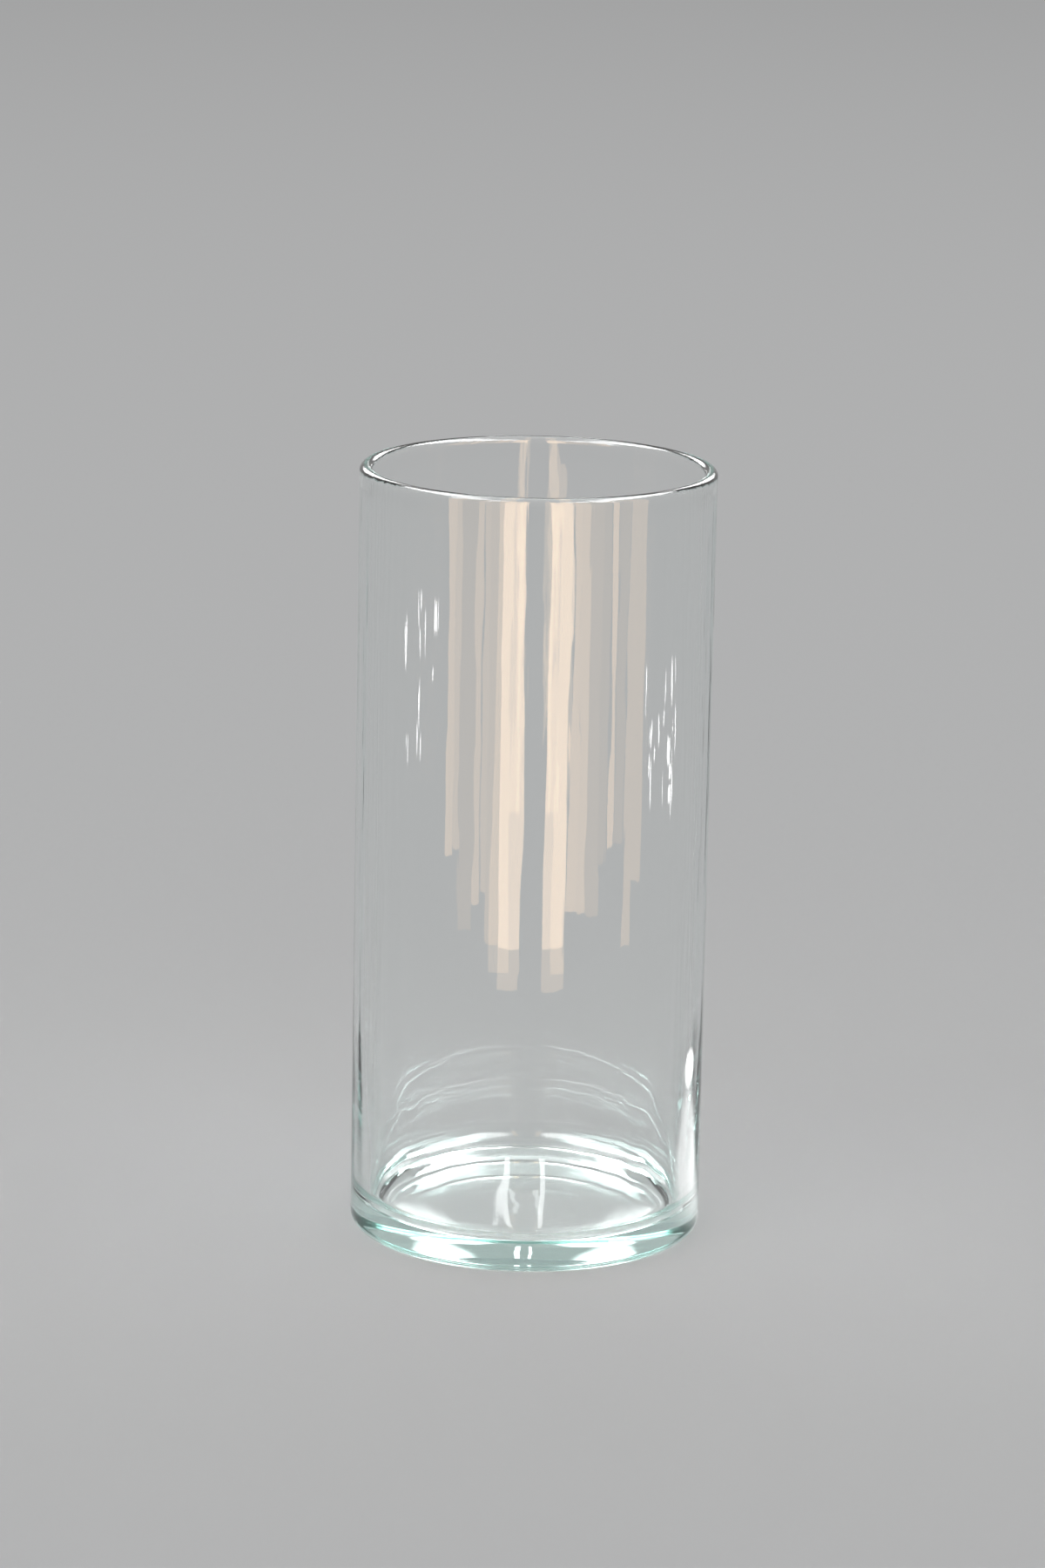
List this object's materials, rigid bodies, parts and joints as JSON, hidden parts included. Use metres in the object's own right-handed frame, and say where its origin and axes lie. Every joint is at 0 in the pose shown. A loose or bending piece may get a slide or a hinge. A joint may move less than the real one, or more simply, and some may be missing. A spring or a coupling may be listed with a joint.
{
  "type": "cylinder vase",
  "caption": "Tall straight-sided cylinder vase in clear glass, with a heavy base, a round fire-polished lip and a slightly hollowed underside to stand on.",
  "frame": {"origin": "centre of the underside, on the surface that the vase stands on", "axes": "+Z is the vase's axis of revolution and points up, out of the mouth; X and Y are any two horizontal directions"},
  "size_m": [0.091, 0.091, 0.2],
  "materials": {
    "soda_lime_glass": "clear, fire-polished, with a faint green tint where the glass is thick"
  },
  "bodies": {
    "root": {"vase_body": "soda_lime_glass"}
  },
  "joints": []
}
